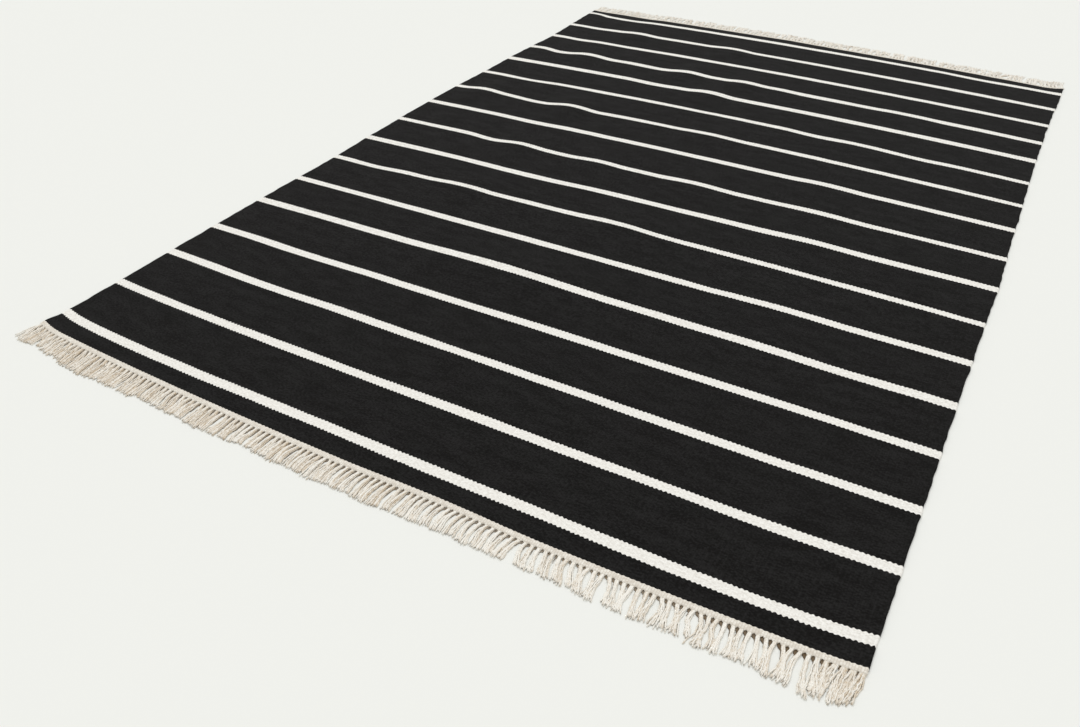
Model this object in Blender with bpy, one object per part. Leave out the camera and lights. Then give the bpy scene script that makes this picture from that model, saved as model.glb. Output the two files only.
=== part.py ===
"""Handwoven flat rug lying on a floor, with a heading and a fringe of warp locks at each end.

Frame: metres, +X across the rug, +Y along its length, +Z up, floor at z = 0, origin at the middle of
the floor under the rug. Shapes are first given in the cloth as woven (across, along) and then laid
down by place(), which bows the rows, sways the selvedges and lifts the puckers as they really lie.
"""
import random

import bmesh
import bpy

# Woven cloth
WIDTH = 2.000
STRIPE_PITCH = 0.180
STRIPE_COUNT = 17
STRIPE_WIDTH = 0.028
BORDER_BAND = 0.044
CLOTH_THICKNESS = 0.005

# Heading and fringe at each end
SEAM_GAP = 0.0008
HEADING_DEPTH = 0.0135
HEADING_THICKNESS = 0.004
LOCK_COUNT = 141
LOCK_TOP_SHARE = 0.78
FRINGE_REACH = 1.600
LENGTH_JITTER = 0.003
LEAN_JITTER = 0.014
GATHER_LEAN = 0.046
GATHER_SIZES = (2, 3, 3, 4)

# Mesh spacing of the cloth
COLUMN_SPACING = 0.050
ROW_SPACING = STRIPE_PITCH / 3
EDGE_COLUMNS = (0.960, 0.980, 0.992, 1.000)

# Yarn colours, linear
FIELD_COLOR = (0.016, 0.015, 0.015)
WARP_COLOR = (0.74, 0.66, 0.57)
FIELD_ROUGHNESS = 0.95
WARP_ROUGHNESS = 0.90

END_STRIPE = (STRIPE_COUNT - 1) * STRIPE_PITCH / 2
CLOTH_HALF_LENGTH = END_STRIPE + STRIPE_WIDTH / 2 + BORDER_BAND

# How far each selvedge stands out from its straight line.
# Columns: along, left, right
SELVEDGES = (
    (-1.50, 0.0030, 0.0025),
    (-1.44, -0.0075, 0.0025),
    (-0.72, -0.0005, 0.0045),
    (-0.36, -0.0025, 0.0065),
    (-0.18, 0.0045, 0.0095),
    (0.18, 0.0095, 0.0035),
    (0.72, -0.0035, -0.0025),
    (1.08, -0.0195, -0.0015),
    (1.44, -0.0125, 0.0070),
)

# How far a woven row lies from its straight line: at its two ends, and bowed in between.
# A higher squareness keeps the bow flat for longer and turns it in sharply at the selvedges.
# Columns: along, left end, right end, bow, squareness
ROWS = (
    (-1.50, 0.004, 0.001, -0.025, 2.5),
    (-1.44, 0.006, 0.005, -0.020, 6.0),
    (-1.26, -0.004, 0.001, -0.012, 5.0),
    (-1.08, -0.006, -0.009, -0.003, 4.0),
    (-0.90, -0.018, -0.007, 0.003, 3.0),
    (-0.72, -0.010, -0.006, 0.010, 3.0),
    (-0.54, -0.020, -0.003, 0.007, 2.0),
    (-0.36, -0.018, 0.000, 0.023, 2.0),
    (-0.18, -0.020, 0.007, 0.013, 2.0),
    (0.00, -0.013, 0.003, 0.017, 2.0),
    (0.18, -0.003, 0.009, 0.023, 2.0),
    (0.36, -0.004, 0.001, 0.034, 2.0),
    (0.54, -0.002, -0.006, 0.040, 2.0),
    (0.72, 0.004, 0.002, 0.030, 2.0),
    (0.90, -0.007, -0.014, 0.033, 2.0),
    (1.08, -0.013, -0.022, 0.032, 2.0),
    (1.26, -0.020, -0.028, 0.035, 2.0),
    (1.44, -0.024, -0.036, 0.037, 2.0),
    (1.50, -0.030, -0.044, 0.041, 2.0),
)

# How far a corner is drawn along the rug, fading out within its reach.
# Columns: side, end, draw, reach across, reach along
CORNERS = (
    (-1, -1, 0.012, 0.090, 0.200),
    (1, -1, 0.003, 0.080, 0.200),
    (-1, 1, 0.010, 0.080, 0.120),
    (1, 1, 0.026, 0.080, 0.090),
)

# Where the cloth is drawn along the rug between its edges, fading out within the given reach.
# Columns: across, along, half width, half length, draw
DRAWS = (
    (0.18, -1.51, 0.24, 0.06, 0.0055),
    (-0.38, -0.18, 0.30, 0.10, -0.0080),
    (0.47, 0.00, 0.16, 0.28, 0.0060),
    (-0.62, 0.00, 0.11, 0.10, -0.0100),
    (-0.58, 0.18, 0.16, 0.10, -0.0060),
    (-0.66, 0.36, 0.15, 0.12, -0.0140),
    (0.32, 0.54, 0.12, 0.10, -0.0080),
    (0.66, 0.54, 0.16, 0.10, -0.0070),
    (-0.36, 0.72, 0.12, 0.10, -0.0080),
    (-0.42, 0.90, 0.14, 0.10, -0.0110),
    (-0.86, 0.90, 0.10, 0.10, -0.0130),
    (-0.86, 1.17, 0.10, 0.22, -0.0090),
    (-0.74, 1.50, 0.12, 0.07, -0.0070),
    (-0.08, 1.50, 0.16, 0.07, 0.0050),
)

# Soft puckers that lift the cloth off the floor.
# Columns: across, along, half width, half length, height
PUCKERS = (
    (-0.15, -0.72, 0.34, 0.16, 0.0080),
    (-0.52, -0.36, 0.13, 0.15, 0.0056),
    (0.00, -0.36, 0.16, 0.15, 0.0058),
    (-0.52, 0.00, 0.10, 0.14, 0.0042),
    (-0.24, 0.00, 0.10, 0.14, 0.0040),
    (0.10, 0.00, 0.13, 0.14, 0.0044),
    (-0.88, 0.36, 0.09, 0.15, 0.0068),
    (-0.52, 0.36, 0.11, 0.16, 0.0080),
    (0.00, 0.36, 0.13, 0.14, 0.0036),
    (-0.14, 0.72, 0.10, 0.15, 0.0072),
    (-0.72, 0.90, 0.10, 0.15, 0.0058),
    (-0.30, 0.90, 0.10, 0.15, 0.0054),
    (-0.06, 0.90, 0.09, 0.15, 0.0062),
    (-0.67, 1.26, 0.10, 0.14, 0.0050),
    (-0.24, 1.26, 0.11, 0.14, 0.0052),
)

# How the fringe lies at each end: a lock's length and its sideways lean for each metre outwards.
# Columns: across, length, lean
NEAR_FRINGE = (
    (-1.00, 0.074, 0.00),
    (-0.93, 0.063, 0.02),
    (-0.80, 0.077, 0.12),
    (-0.64, 0.071, 0.11),
    (-0.54, 0.063, 0.10),
    (-0.38, 0.070, 0.06),
    (-0.26, 0.064, 0.02),
    (-0.14, 0.069, 0.00),
    (-0.02, 0.067, -0.02),
    (0.12, 0.070, -0.03),
    (0.23, 0.067, -0.02),
    (0.34, 0.065, -0.02),
    (0.45, 0.063, 0.26),
    (0.60, 0.074, 0.08),
    (0.72, 0.076, 0.09),
    (0.82, 0.075, 0.10),
    (0.90, 0.087, 0.02),
    (1.00, 0.085, -0.14),
)
FAR_FRINGE = (
    (-1.00, 0.070, 0.02),
    (-0.60, 0.073, -0.10),
    (-0.15, 0.069, 0.06),
    (0.30, 0.072, -0.05),
    (0.70, 0.070, 0.08),
    (1.00, 0.074, -0.04),
)

# The two ends of the rug.
# Columns: name, side of the origin, fringe table, seed of the locks' small differences
ENDS = (
    ("fringe_near", -1, NEAR_FRINGE, 11),
    ("fringe_far", 1, FAR_FRINGE, 23),
)

# A lock from its root to its tip.
# Columns: share of the length, width, height
LOCK_SECTIONS = (
    (0.00, 0.0070, HEADING_THICKNESS),
    (0.30, 0.0100, 0.0035),
    (1.00, 0.0074, 0.0025),
)


def read_table(table, position, column):
    """Value of one column at a position given in the first column, eased between the rows."""
    if position <= table[0][0]:
        return table[0][column]
    for low, high in zip(table, table[1:]):
        if position <= high[0]:
            share = (position - low[0]) / (high[0] - low[0])
            eased = share * share * (3 - 2 * share)
            return low[column] + (high[column] - low[column]) * eased
    return table[-1][column]


def row_shift(across, along):
    """How far the row lies from its straight line at this place, along the rug."""
    left, right, bow, squareness = (read_table(ROWS, along, column) for column in (1, 2, 3, 4))
    side = across / (WIDTH / 2)
    ends = left + (right - left) * (side + 1) / 2
    bowed = bow * (1 - abs(side) ** squareness)
    return ends + bowed + corner_draw(across, along) + local_draw(across, along)


def corner_draw(across, along):
    """How far this place is drawn along the rug by the corner that it is close to."""
    drawn = 0.0
    for side, end, draw, reach_across, reach_along in CORNERS:
        inward = max(0.0, WIDTH / 2 - side * across) / reach_across
        onward = max(0.0, CLOTH_HALF_LENGTH - end * along) / reach_along
        if inward < 1 and onward < 1:
            drawn += draw * (1 - inward) ** 2 * (1 - onward) ** 2
    return drawn


def local_draw(across, along):
    """How far this place is drawn along the rug by the soft folds round it."""
    drawn = 0.0
    for middle, centre, half_width, half_length, draw in DRAWS:
        reach = ((across - middle) / half_width) ** 2 + ((along - centre) / half_length) ** 2
        if reach < 1:
            drawn += draw * (1 - reach) ** 2
    return drawn


def lift(across, along):
    """Height of the cloth's underside over the floor: none away from the puckers."""
    height = 0.0
    for middle, centre, half_width, half_length, rise in PUCKERS:
        reach = ((across - middle) / half_width) ** 2 + ((along - centre) / half_length) ** 2
        if reach < 1:
            height = max(height, rise * (1 - reach) ** 2)
    return height


def place(across, along, height=0.0):
    """Where a point of the woven cloth lies on the floor."""
    stand_out = read_table(SELVEDGES, along, 1 if across < 0 else 2)
    x = across * (1 + stand_out / (WIDTH / 2))
    y = along + row_shift(across, along)
    return (x, y, lift(across, along) + height)


def cloth_columns():
    """Places across the cloth where its mesh has a column, closer together at the selvedges."""
    half_count = int(EDGE_COLUMNS[0] / COLUMN_SPACING)
    inner = [index * COLUMN_SPACING for index in range(-half_count, half_count + 1)]
    return [-edge for edge in reversed(EDGE_COLUMNS)] + inner + list(EDGE_COLUMNS)


def cloth_rows():
    """Places along the cloth where its mesh has a row: even steps that meet the stripes, and the ends."""
    half_count = round(END_STRIPE / ROW_SPACING)
    inner = [index * ROW_SPACING for index in range(-half_count, half_count + 1)]
    return [-CLOTH_HALF_LENGTH] + inner + [CLOTH_HALF_LENGTH]


def edge_y(across, end):
    """The cloth's end edge as meshed, so that the heading follows it at an even gap."""
    columns = cloth_columns()
    for low, high in zip(columns, columns[1:]):
        if across <= high:
            share = (across - low) / (high - low)
            start = place(low, end * CLOTH_HALF_LENGTH)[1]
            stop = place(high, end * CLOTH_HALF_LENGTH)[1]
            return start + (stop - start) * share
    return place(columns[-1], end * CLOTH_HALF_LENGTH)[1]


def cotton(name, color, roughness):
    material = bpy.data.materials.new(name)
    material.use_nodes = True
    shader = material.node_tree.nodes["Principled BSDF"]
    shader.inputs["Base Color"].default_value = (*color, 1.0)
    shader.inputs["Roughness"].default_value = roughness
    shader.inputs["Metallic"].default_value = 0.0
    return material


def add_object(name, work, material):
    bmesh.ops.recalc_face_normals(work, faces=work.faces)
    mesh = bpy.data.meshes.new(name)
    work.to_mesh(mesh)
    work.free()
    mesh.materials.append(material)
    piece = bpy.data.objects.new(name, mesh)
    bpy.context.scene.collection.objects.link(piece)
    return piece


def woven_field(name, material):
    """The cloth: one closed sheet of even thickness that follows the puckers on both faces."""
    work = bmesh.new()
    columns, rows = cloth_columns(), cloth_rows()
    layers = []
    for height in (0.0, CLOTH_THICKNESS):
        layers.append([[work.verts.new(place(u, v, height)) for u in columns] for v in rows])
    for grid in layers:
        for low, high in zip(grid, grid[1:]):
            for index in range(len(columns) - 1):
                work.faces.new((low[index], low[index + 1], high[index + 1], high[index]))
    under, over = layers
    last_row, last_column = len(rows) - 1, len(columns) - 1
    rim = [(0, index) for index in range(last_column)]
    rim += [(index, last_column) for index in range(last_row)]
    rim += [(last_row, index) for index in range(last_column, 0, -1)]
    rim += [(index, 0) for index in range(last_row, 0, -1)]
    for (row, column), (next_row, next_column) in zip(rim, rim[1:] + rim[:1]):
        work.faces.new((under[row][column], under[next_row][next_column],
                        over[next_row][next_column], over[row][column]))
    return add_object(name, work, material)


def heading_outer_y(across, end):
    """The outer side of the heading strip, where the locks grow from."""
    return edge_y(across, end) + end * (SEAM_GAP + HEADING_DEPTH)


def lock_table(end, fringe, seed):
    """Every lock of one end: its root's place across, its length and its lean.

    Locks gather at the tips in small groups, and the longest one just reaches FRINGE_REACH.
    """
    chance = random.Random(seed)
    pitch = WIDTH / LOCK_COUNT
    locks = []
    while len(locks) < LOCK_COUNT:
        size = min(chance.choice(GATHER_SIZES), LOCK_COUNT - len(locks))
        for member in range(size):
            across = -WIDTH / 2 + (len(locks) + 0.5) * pitch
            length = read_table(fringe, across, 1) + chance.uniform(-LENGTH_JITTER, LENGTH_JITTER)
            gather = GATHER_LEAN * ((size - 1) / 2 - member)
            lean = read_table(fringe, across, 2) + gather + chance.uniform(-LEAN_JITTER, LEAN_JITTER)
            locks.append((across, length, lean))
    reach = max(abs(heading_outer_y(across, end)) + length for across, length, _ in locks)
    spare = FRINGE_REACH - reach
    return [(across, length + spare, lean) for across, length, lean in locks]


def add_lock(work, corners, root, lock, end):
    """One lock, grown from its four root corners and lying level on the floor."""
    _, length, lean = lock
    ring = corners
    for share, width, height in LOCK_SECTIONS[1:]:
        out = share * length
        x = root[0] + lean * out
        y = root[1] + end * out
        foot, crest = width / 2, width / 2 * LOCK_TOP_SHARE
        points = ((x - foot, y, 0.0), (x + foot, y, 0.0), (x + crest, y, height), (x - crest, y, height))
        following = [work.verts.new(point) for point in points]
        for index in range(4):
            after = (index + 1) % 4
            work.faces.new((ring[index], ring[after], following[after], following[index]))
        ring = following
    work.faces.new(ring)


def fringed_heading(name, end, fringe, seed, material):
    """The heading strip beyond the cloth's end, with its locks fused to the strip's outer face."""
    work = bmesh.new()
    pitch = WIDTH / LOCK_COUNT
    half_neck = LOCK_SECTIONS[0][1] / 2
    locks = lock_table(end, fringe, seed)

    def column(across, y):
        x = place(across, end * CLOTH_HALF_LENGTH)[0]
        return work.verts.new((x, y, 0.0)), work.verts.new((x, y, HEADING_THICKNESS))

    inner_places = [-WIDTH / 2 + index * pitch for index in range(LOCK_COUNT + 1)]
    inner = [column(u, edge_y(u, end) + end * SEAM_GAP) for u in inner_places]
    first = column(-WIDTH / 2, heading_outer_y(-WIDTH / 2, end))
    last = column(WIDTH / 2, heading_outer_y(WIDTH / 2, end))
    necks = []
    for across, _, _ in locks:
        sides = [across - half_neck, across + half_neck]
        necks.append([column(u, heading_outer_y(across, end)) for u in sides])

    for index, (left, right) in enumerate(necks):
        after = necks[index + 1][0] if index + 1 < len(necks) else last
        before = first if index == 0 else None
        for level in (0, 1):
            work.faces.new((inner[index][level], inner[index + 1][level], right[level], left[level]))
            work.faces.new((inner[index + 1][level], after[level], right[level]))
            if before:
                work.faces.new((inner[index][level], left[level], before[level]))
        work.faces.new((inner[index][0], inner[index + 1][0], inner[index + 1][1], inner[index][1]))
        work.faces.new((right[0], after[0], after[1], right[1]))
        if before:
            work.faces.new((before[0], left[0], left[1], before[1]))
        corners = [left[0], right[0], right[1], left[1]]
        root = [(a + b) / 2 for a, b in zip(left[0].co, right[0].co)]
        add_lock(work, corners, root, locks[index], end)
    work.faces.new((inner[0][0], first[0], first[1], inner[0][1]))
    work.faces.new((inner[-1][0], last[0], last[1], inner[-1][1]))
    return add_object(name, work, material)


def build():
    for old in list(bpy.data.objects):
        bpy.data.objects.remove(old, do_unlink=True)
    woven_field("rug_field", cotton("field_yarn", FIELD_COLOR, FIELD_ROUGHNESS))
    for name, end, fringe, seed in ENDS:
        fringed_heading(name, end, fringe, seed, cotton(name + "_yarn", WARP_COLOR, WARP_ROUGHNESS))


build()
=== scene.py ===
"""Looks of a handwoven flat rug: its striped weave, its headings and its cotton fringe.

Frame: metres, +X across the rug, +Y along its length, +Z up, floor at z = 0. Shapes are first given in
the cloth as woven (across, along), and place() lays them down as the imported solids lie.
"""

import math
import random

import bpy
import numpy as np
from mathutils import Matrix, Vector, noise


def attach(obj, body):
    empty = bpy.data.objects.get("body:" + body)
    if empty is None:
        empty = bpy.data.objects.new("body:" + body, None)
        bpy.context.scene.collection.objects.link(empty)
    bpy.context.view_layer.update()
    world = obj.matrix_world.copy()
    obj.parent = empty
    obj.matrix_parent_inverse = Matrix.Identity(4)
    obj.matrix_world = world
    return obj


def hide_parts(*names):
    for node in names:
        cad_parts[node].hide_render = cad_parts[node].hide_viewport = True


# Woven cloth
WIDTH = 2.000
STRIPE_PITCH = 0.180
STRIPE_COUNT = 17
STRIPE_WIDTH = 0.028
BORDER_BAND = 0.044
CLOTH_THICKNESS = 0.005
RIB_PITCH = 0.0048
WEFT_PITCH = 0.0012

# Heading and fringe at each end
SEAM_GAP = 0.0008
HEADING_DEPTH = 0.0135
LOCK_COUNT = 141
LOCK_PITCH = WIDTH / LOCK_COUNT
FRINGE_REACH = 1.600
LENGTH_JITTER = 0.003
LEAN_JITTER = 0.014
GATHER_LEAN = 0.046
GATHER_SIZES = (2, 3, 3, 4)

END_STRIPE = (STRIPE_COUNT - 1) * STRIPE_PITCH / 2
CLOTH_HALF_LENGTH = END_STRIPE + STRIPE_WIDTH / 2 + BORDER_BAND

# How far each selvedge stands out from its straight line.
# Columns: along, left, right
SELVEDGES = (
    (-1.50, 0.0030, 0.0025),
    (-1.44, -0.0075, 0.0025),
    (-0.72, -0.0005, 0.0045),
    (-0.36, -0.0025, 0.0065),
    (-0.18, 0.0045, 0.0095),
    (0.18, 0.0095, 0.0035),
    (0.72, -0.0035, -0.0025),
    (1.08, -0.0195, -0.0015),
    (1.44, -0.0125, 0.0070),
)

# How far a woven row lies from its straight line: at its two ends, and bowed in between.
# A higher squareness keeps the bow flat for longer and turns it in sharply at the selvedges.
# Columns: along, left end, right end, bow, squareness
ROWS = (
    (-1.50, 0.004, 0.001, -0.025, 2.5),
    (-1.44, 0.006, 0.005, -0.020, 6.0),
    (-1.26, -0.004, 0.001, -0.012, 5.0),
    (-1.08, -0.006, -0.009, -0.003, 4.0),
    (-0.90, -0.018, -0.007, 0.003, 3.0),
    (-0.72, -0.010, -0.006, 0.010, 3.0),
    (-0.54, -0.020, -0.003, 0.007, 2.0),
    (-0.36, -0.018, 0.000, 0.023, 2.0),
    (-0.18, -0.020, 0.007, 0.013, 2.0),
    (0.00, -0.013, 0.003, 0.017, 2.0),
    (0.18, -0.003, 0.009, 0.023, 2.0),
    (0.36, -0.004, 0.001, 0.034, 2.0),
    (0.54, -0.002, -0.006, 0.040, 2.0),
    (0.72, 0.004, 0.002, 0.030, 2.0),
    (0.90, -0.007, -0.014, 0.033, 2.0),
    (1.08, -0.013, -0.022, 0.032, 2.0),
    (1.26, -0.020, -0.028, 0.035, 2.0),
    (1.44, -0.024, -0.036, 0.037, 2.0),
    (1.50, -0.030, -0.044, 0.041, 2.0),
)

# How far a corner is drawn along the rug, fading out within its reach.
# Columns: side, end, draw, reach across, reach along
CORNERS = (
    (-1, -1, 0.012, 0.090, 0.200),
    (1, -1, 0.003, 0.080, 0.200),
    (-1, 1, 0.010, 0.080, 0.120),
    (1, 1, 0.026, 0.080, 0.090),
)

# Where the cloth is drawn along the rug between its edges, fading out within the given reach.
# Columns: across, along, half width, half length, draw
DRAWS = (
    (0.18, -1.51, 0.24, 0.06, 0.0055),
    (-0.38, -0.18, 0.30, 0.10, -0.0080),
    (0.47, 0.00, 0.16, 0.28, 0.0060),
    (-0.62, 0.00, 0.11, 0.10, -0.0100),
    (-0.58, 0.18, 0.16, 0.10, -0.0060),
    (-0.66, 0.36, 0.15, 0.12, -0.0140),
    (0.32, 0.54, 0.12, 0.10, -0.0080),
    (0.66, 0.54, 0.16, 0.10, -0.0070),
    (-0.36, 0.72, 0.12, 0.10, -0.0080),
    (-0.42, 0.90, 0.14, 0.10, -0.0110),
    (-0.86, 0.90, 0.10, 0.10, -0.0130),
    (-0.86, 1.17, 0.10, 0.22, -0.0090),
    (-0.74, 1.50, 0.12, 0.07, -0.0070),
    (-0.08, 1.50, 0.16, 0.07, 0.0050),
)

# Soft puckers that lift the cloth off the floor.
# Columns: across, along, half width, half length, height
PUCKERS = (
    (-0.15, -0.72, 0.34, 0.16, 0.0080),
    (-0.52, -0.36, 0.13, 0.15, 0.0056),
    (0.00, -0.36, 0.16, 0.15, 0.0058),
    (-0.52, 0.00, 0.10, 0.14, 0.0042),
    (-0.24, 0.00, 0.10, 0.14, 0.0040),
    (0.10, 0.00, 0.13, 0.14, 0.0044),
    (-0.88, 0.36, 0.09, 0.15, 0.0068),
    (-0.52, 0.36, 0.11, 0.16, 0.0080),
    (0.00, 0.36, 0.13, 0.14, 0.0036),
    (-0.14, 0.72, 0.10, 0.15, 0.0072),
    (-0.72, 0.90, 0.10, 0.15, 0.0058),
    (-0.30, 0.90, 0.10, 0.15, 0.0054),
    (-0.06, 0.90, 0.09, 0.15, 0.0062),
    (-0.67, 1.26, 0.10, 0.14, 0.0050),
    (-0.24, 1.26, 0.11, 0.14, 0.0052),
)

# How the fringe lies at each end: a lock's length and its sideways lean for each metre outwards.
# Columns: across, length, lean
NEAR_FRINGE = (
    (-1.00, 0.074, 0.00),
    (-0.93, 0.063, 0.02),
    (-0.80, 0.077, 0.12),
    (-0.64, 0.071, 0.11),
    (-0.54, 0.063, 0.10),
    (-0.38, 0.070, 0.06),
    (-0.26, 0.064, 0.02),
    (-0.14, 0.069, 0.00),
    (-0.02, 0.067, -0.02),
    (0.12, 0.070, -0.03),
    (0.23, 0.067, -0.02),
    (0.34, 0.065, -0.02),
    (0.45, 0.063, 0.26),
    (0.60, 0.074, 0.08),
    (0.72, 0.076, 0.09),
    (0.82, 0.075, 0.10),
    (0.90, 0.087, 0.02),
    (1.00, 0.085, -0.14),
)
FAR_FRINGE = (
    (-1.00, 0.070, 0.02),
    (-0.60, 0.073, -0.10),
    (-0.15, 0.069, 0.06),
    (0.30, 0.072, -0.05),
    (0.70, 0.070, 0.08),
    (1.00, 0.074, -0.04),
)

# How a lock spreads: half its width at the neck, in the middle and at the tip, how untidy it is, how
# much it bows sideways, and its share of the gathering.
# Columns: across, neck, middle, tip, untidiness, bow, gathering
SPREAD_KEYS = ("neck", "middle", "tip", "untidiness", "bow", "gathering")
NEAR_SPREAD = (
    (-1.00, 0.0036, 0.0074, 0.0084, 1.6, 0.000, 0.4),
    (-0.86, 0.0036, 0.0074, 0.0082, 1.5, 0.000, 0.4),
    (-0.70, 0.0034, 0.0070, 0.0078, 1.3, 0.000, 0.5),
    (-0.45, 0.0031, 0.0069, 0.0074, 1.1, -0.001, 0.5),
    (-0.20, 0.0027, 0.0057, 0.0070, 1.0, -0.003, 0.5),
    (0.05, 0.0024, 0.0048, 0.0067, 0.9, -0.004, 0.5),
    (0.30, 0.0023, 0.0040, 0.0064, 1.0, -0.004, 0.5),
    (0.43, 0.0028, 0.0032, 0.0064, 1.1, -0.002, 0.6),
    (0.62, 0.0030, 0.0029, 0.0066, 1.3, 0.000, 0.6),
    (0.70, 0.0028, 0.0034, 0.0070, 2.2, 0.000, 0.7),
    (0.78, 0.0026, 0.0028, 0.0068, 1.3, 0.000, 0.6),
    (0.90, 0.0023, 0.0028, 0.0070, 1.3, 0.000, 0.5),
    (0.93, 0.0030, 0.0060, 0.0084, 1.6, 0.000, 0.3),
    (0.96, 0.0046, 0.0080, 0.0090, 2.0, 0.000, 0.2),
)
FAR_SPREAD = (
    (-1.00, 0.0028, 0.0048, 0.0066, 2.4, 0.000, 0.8),
    (0.00, 0.0026, 0.0046, 0.0062, 2.2, 0.001, 0.8),
    (1.00, 0.0028, 0.0048, 0.0068, 2.4, 0.000, 0.8),
)

# How a lock is shaded: how beige it is, and how much painted shade makes its right flank more beige.
# Then the depth of its shaded strand's painted shade, the strand's reach and half width, the lock's flank
# that it clings to, from -1 for the right one to 1 for the left one, and how far out the painted shade of
# the hole at the root reaches and half its width.
# Columns: across, beige, right_flank_shade, depth, reach, half width, flank, hole, hole width
SHADE_KEYS = ("beige", "right_flank_shade", "depth", "reach", "half width", "flank", "hole", "hole width")
NEAR_SHADES = (
    (-1.00, 0.28, 0.05, 0.75, 0.014, 0.0013, -0.3, 0.006, 0.0030),
    (-0.72, 0.34, 0.14, 0.84, 0.032, 0.0013, -0.6, 0.005, 0.0026),
    (-0.45, 0.26, 0.20, 0.84, 0.034, 0.0013, -0.7, 0.005, 0.0026),
    (-0.10, 0.13, 0.32, 0.82, 0.038, 0.0013, -0.9, 0.005, 0.0026),
    (0.20, 0.00, 0.26, 0.78, 0.034, 0.0012, -0.9, 0.004, 0.0025),
    (0.32, -0.06, 0.20, 0.72, 0.022, 0.0011, -0.9, 0.003, 0.0023),
    (0.42, 0.02, 0.10, 0.70, 0.014, 0.0010, -1.0, 0.003, 0.0023),
    (0.46, 0.06, 0.05, 0.70, 0.012, 0.0009, 1.0, 0.003, 0.0024),
    (0.66, 0.10, 0.00, 0.80, 0.018, 0.0012, 1.0, 0.005, 0.0030),
    (0.78, 0.06, 0.00, 0.92, 0.024, 0.0014, 1.0, 0.009, 0.0037),
    (0.90, 0.04, 0.00, 0.98, 0.022, 0.0016, 1.0, 0.011, 0.0039),
    (0.97, 0.26, 0.00, 0.90, 0.006, 0.0010, 1.0, 0.006, 0.0036),
)
FAR_SHADES = (
    (-1.00, 0.00, 0.05, 0.50, 0.014, 0.0010, -0.5, 0.006, 0.0034),
    (1.00, 0.04, 0.05, 0.50, 0.014, 0.0010, -0.5, 0.006, 0.0034),
)

# Where the locks of an end lie apart, and how far each side is pushed away at its tip.
# Columns: across, push
NEAR_OPENINGS = (
    (-0.890, 0.002),
    (-0.750, 0.004),
    (-0.560, 0.003),
    (-0.330, 0.002),
    (-0.080, 0.002),
    (0.085, 0.003),
    (0.255, 0.004),
    (0.372, 0.016),
    (0.556, 0.008),
    (0.602, 0.003),
    (0.662, 0.006),
    (0.740, 0.003),
    (0.818, 0.004),
    (0.895, 0.008),
)
FAR_OPENINGS = (
    (-0.620, 0.004),
    (-0.240, 0.004),
    (0.160, 0.004),
    (0.580, 0.004),
)
OPENING_REACH = 0.045

# The two ends of the rug, each with its tables and the seed of its locks' small differences.
ENDS = (
    {"name": "near", "side": -1, "fringe": NEAR_FRINGE, "spreads": NEAR_SPREAD, "shades": NEAR_SHADES,
     "openings": NEAR_OPENINGS, "seed": 11},
    {"name": "far", "side": 1, "fringe": FAR_FRINGE, "spreads": FAR_SPREAD, "shades": FAR_SHADES,
     "openings": FAR_OPENINGS, "seed": 23},
)

# Mesh of the cloth. Its selvedge waves all along, and it bulges at each stripe.
COLUMN_STEP = 0.020
ROW_STEP = STRIPE_PITCH / 15
EDGE_STEPS = (0.0, 0.0006, 0.0018, 0.0034, 0.0070, 0.0130)
EDGE_ROUND = 0.0034
TUCK = 0.003
SELVEDGE_WAVE = 0.0024
SELVEDGE_WAVE_LENGTH = 0.030
STRIPE_BULGE = 0.0006
STRIPE_BULGE_REACH = 0.8 * STRIPE_WIDTH
COCKLE = 0.0005
COCKLE_LENGTH = 0.055

# How much wider a stripe is woven than the others.
# Columns: along, widening
STRIPE_WIDTHS = (
    (-1.44, 0.0000),
    (-0.90, 0.0000),
    (-0.72, 0.0030),
    (-0.54, -0.0010),
    (-0.36, -0.0040),
    (-0.18, 0.0010),
    (0.00, -0.0030),
    (0.18, 0.0000),
    (0.36, -0.0025),
    (0.54, -0.0025),
    (0.72, 0.0045),
    (0.90, 0.0020),
    (1.08, 0.0000),
)

# Where a stripe wanders along the cloth that it is woven into, as DRAWS gives it for the cloth.
# Columns: across, along, half width, half length, draw
WANDERS = (
    (-0.66, -1.08, 0.26, 0.06, -0.0050),
    (-0.65, -0.90, 0.24, 0.06, -0.0055),
    (0.76, -0.72, 0.20, 0.06, -0.0060),
    (0.54, -0.54, 0.20, 0.06, 0.0060),
    (-0.84, -0.36, 0.12, 0.06, -0.0080),
    (0.54, -0.18, 0.16, 0.06, 0.0065),
    (-0.34, 0.00, 0.16, 0.06, -0.0060),
    (0.44, 0.18, 0.14, 0.06, 0.0065),
    (-0.46, 0.36, 0.18, 0.06, -0.0060),
    (-0.80, 0.54, 0.14, 0.06, -0.0090),
    (-0.94, 0.90, 0.08, 0.06, 0.0090),
    (-0.62, 0.90, 0.16, 0.06, -0.0060),
    (0.06, 0.90, 0.12, 0.06, 0.0070),
    (0.54, 0.90, 0.16, 0.06, 0.0075),
    (-0.62, 1.08, 0.20, 0.06, -0.0055),
    (-0.97, 1.44, 0.08, 0.08, 0.0200),
    (-0.79, 1.44, 0.15, 0.08, -0.0120),
    (0.72, 1.44, 0.18, 0.08, -0.0080),
)

# Section of a heading strip, from the seam over its top to its outer side and back underneath.
# Columns: outwards from the cloth's end, height, share of the seam's teeth, share of the holes' cut
HEADING_SECTION = (
    (-0.0024, 0.0038, 1.0, 0.0),
    (-0.0007, 0.0051, 1.0, 0.0),
    (0.0006, 0.0058, 1.0, 0.0),
    (0.0035, 0.0059, 0.2, 0.0),
    (0.0075, 0.0058, 0.0, 0.1),
    (0.0110, 0.0055, 0.0, 0.4),
    (0.0128, 0.0047, 0.0, 1.0),
    (0.0136, 0.0032, 0.0, 1.6),
    (0.0128, 0.0012, 0.0, 2.4),
    (0.0070, 0.0006, 0.0, 0.0),
    (-0.0010, 0.0006, 0.0, 0.0),
)

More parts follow.
